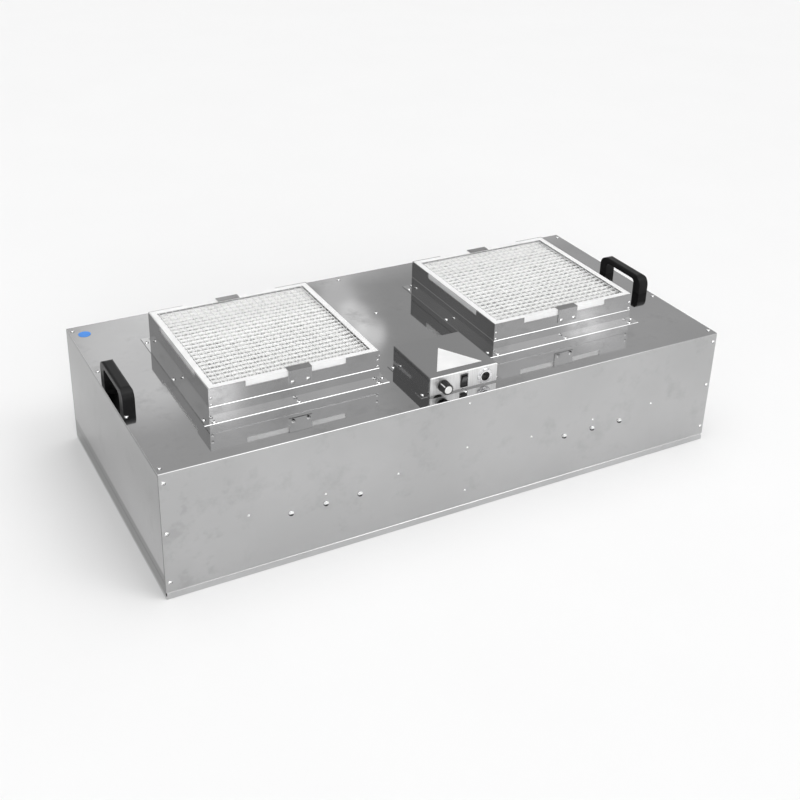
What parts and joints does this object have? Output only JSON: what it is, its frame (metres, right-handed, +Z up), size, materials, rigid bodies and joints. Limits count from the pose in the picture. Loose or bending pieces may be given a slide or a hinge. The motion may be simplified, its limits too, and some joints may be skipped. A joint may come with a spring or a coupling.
{
  "type": "fan filter unit",
  "caption": "Ceiling fan filter unit: a stainless casing with square pleated intake filters, plug fans, a control box and carrying handles.",
  "frame": {"origin": "middle of the base frame's underside, where the unit rests on a ceiling grid", "axes": "+X along the length, from the left fan to the right fan seen from the controls; -Y towards the control side; +Z up, towards the intakes"},
  "size_m": [1.175, 0.581, 0.3165],
  "materials": {
    "casing_steel": "polished stainless steel",
    "base_steel": "stainless steel",
    "inner_steel": "galvanised sheet",
    "motor_casting": "plain",
    "bright_steel": "ground",
    "fan_black": "satin black paint",
    "collar_steel": "polished stainless steel",
    "filter_frame_white": "pale",
    "white_fleece": "pleated fleece",
    "white_wire": "white coating",
    "clip_steel": "satin",
    "filter_aluminium": "anodised",
    "filter_paper": "pleated glass-fibre paper",
    "black_rubber": "matt",
    "box_steel": "polished stainless steel",
    "board_green": "solder resist",
    "bright_aluminium": "spun",
    "cream_plastic": "plain",
    "black_plastic": "satin",
    "switch_black": "glossy",
    "inlet_chrome": "chromed",
    "handle_black": "satin",
    "bright_fasteners": "bright"
  },
  "bodies": {
    "unit": {"casing_skin": "casing_steel", "end_panel_left": "casing_steel", "end_panel_right": "casing_steel", "base_frame": "base_steel", "centre_divider": "inner_steel", "airflow_baffle_left": "inner_steel", "airflow_baffle_right": "inner_steel", "motor_bridge_left": "inner_steel", "motor_bridge_right": "inner_steel", "intake_ring_left": "inner_steel", "intake_ring_right": "inner_steel", "motor_stator_left": "motor_casting", "motor_stator_right": "motor_casting", "motor_bearings_left": "bright_steel", "motor_bearings_right": "bright_steel", "collar_base_left": "collar_steel", "collar_base_right": "collar_steel", "filter_holder_left": "collar_steel", "filter_holder_right": "collar_steel", "prefilter_frame_left": "filter_frame_white", "prefilter_frame_right": "filter_frame_white", "prefilter_fleece_left": "white_fleece", "prefilter_fleece_right": "white_fleece", "prefilter_guard_left": "white_wire", "prefilter_guard_right": "white_wire", "filter_clips_left": "clip_steel", "filter_clips_right": "clip_steel", "fine_filter_frame": "filter_aluminium", "fine_filter_pack": "filter_paper", "fine_filter_guard": "white_wire", "fine_filter_gasket": "black_rubber", "control_cover": "box_steel", "control_tray": "inner_steel", "speed_board": "board_green", "capacitors": "bright_aluminium", "terminal_block": "cream_plastic", "speed_pot": "bright_steel", "switch_body": "switch_black", "power_inlet": "inlet_chrome", "inlet_socket": "black_plastic", "handle_left": "handle_black", "handle_right": "handle_black", "handle_bolts": "bright_fasteners", "casing_screws": "bright_fasteners", "collar_screws": "bright_fasteners", "clip_screws": "bright_fasteners", "box_screws": "bright_fasteners", "bridge_bolts": "bright_fasteners", "motor_screws": "bright_fasteners", "rivets": "bright_fasteners", "cable_grommets": "black_rubber", "fan_cables": "black_rubber"},
    "fan_left": {"motor_rotor_left": "fan_black", "impeller_left": "fan_black"},
    "fan_right": {"motor_rotor_right": "fan_black", "impeller_right": "fan_black"},
    "knob": {"knob_shaft": "bright_steel", "speed_knob": "black_plastic", "knob_cap": "bright_aluminium"},
    "switch_rocker": {"rocker": "switch_black"}
  },
  "joints": [
    {"name": "fan_left_spin", "type": "hinge", "parent": "unit", "child": "fan_left", "pos_m": [-0.29, 0, 0.15], "axis": [0, 0, 1], "continuous": true},
    {"name": "fan_right_spin", "type": "hinge", "parent": "unit", "child": "fan_right", "pos_m": [0.29, 0, 0.15], "axis": [0, 0, 1], "continuous": true},
    {"name": "speed_knob_turn", "type": "hinge", "parent": "unit", "child": "knob", "pos_m": [-0.044, -0.262, 0.2715], "axis": [0, 1, 0], "range_deg": [-105, 195]},
    {"name": "rocker_tilt", "type": "hinge", "parent": "unit", "child": "switch_rocker", "pos_m": [0, -0.26, 0.2715], "axis": [-1, 0, 0], "range_deg": [0, 18]}
  ]
}
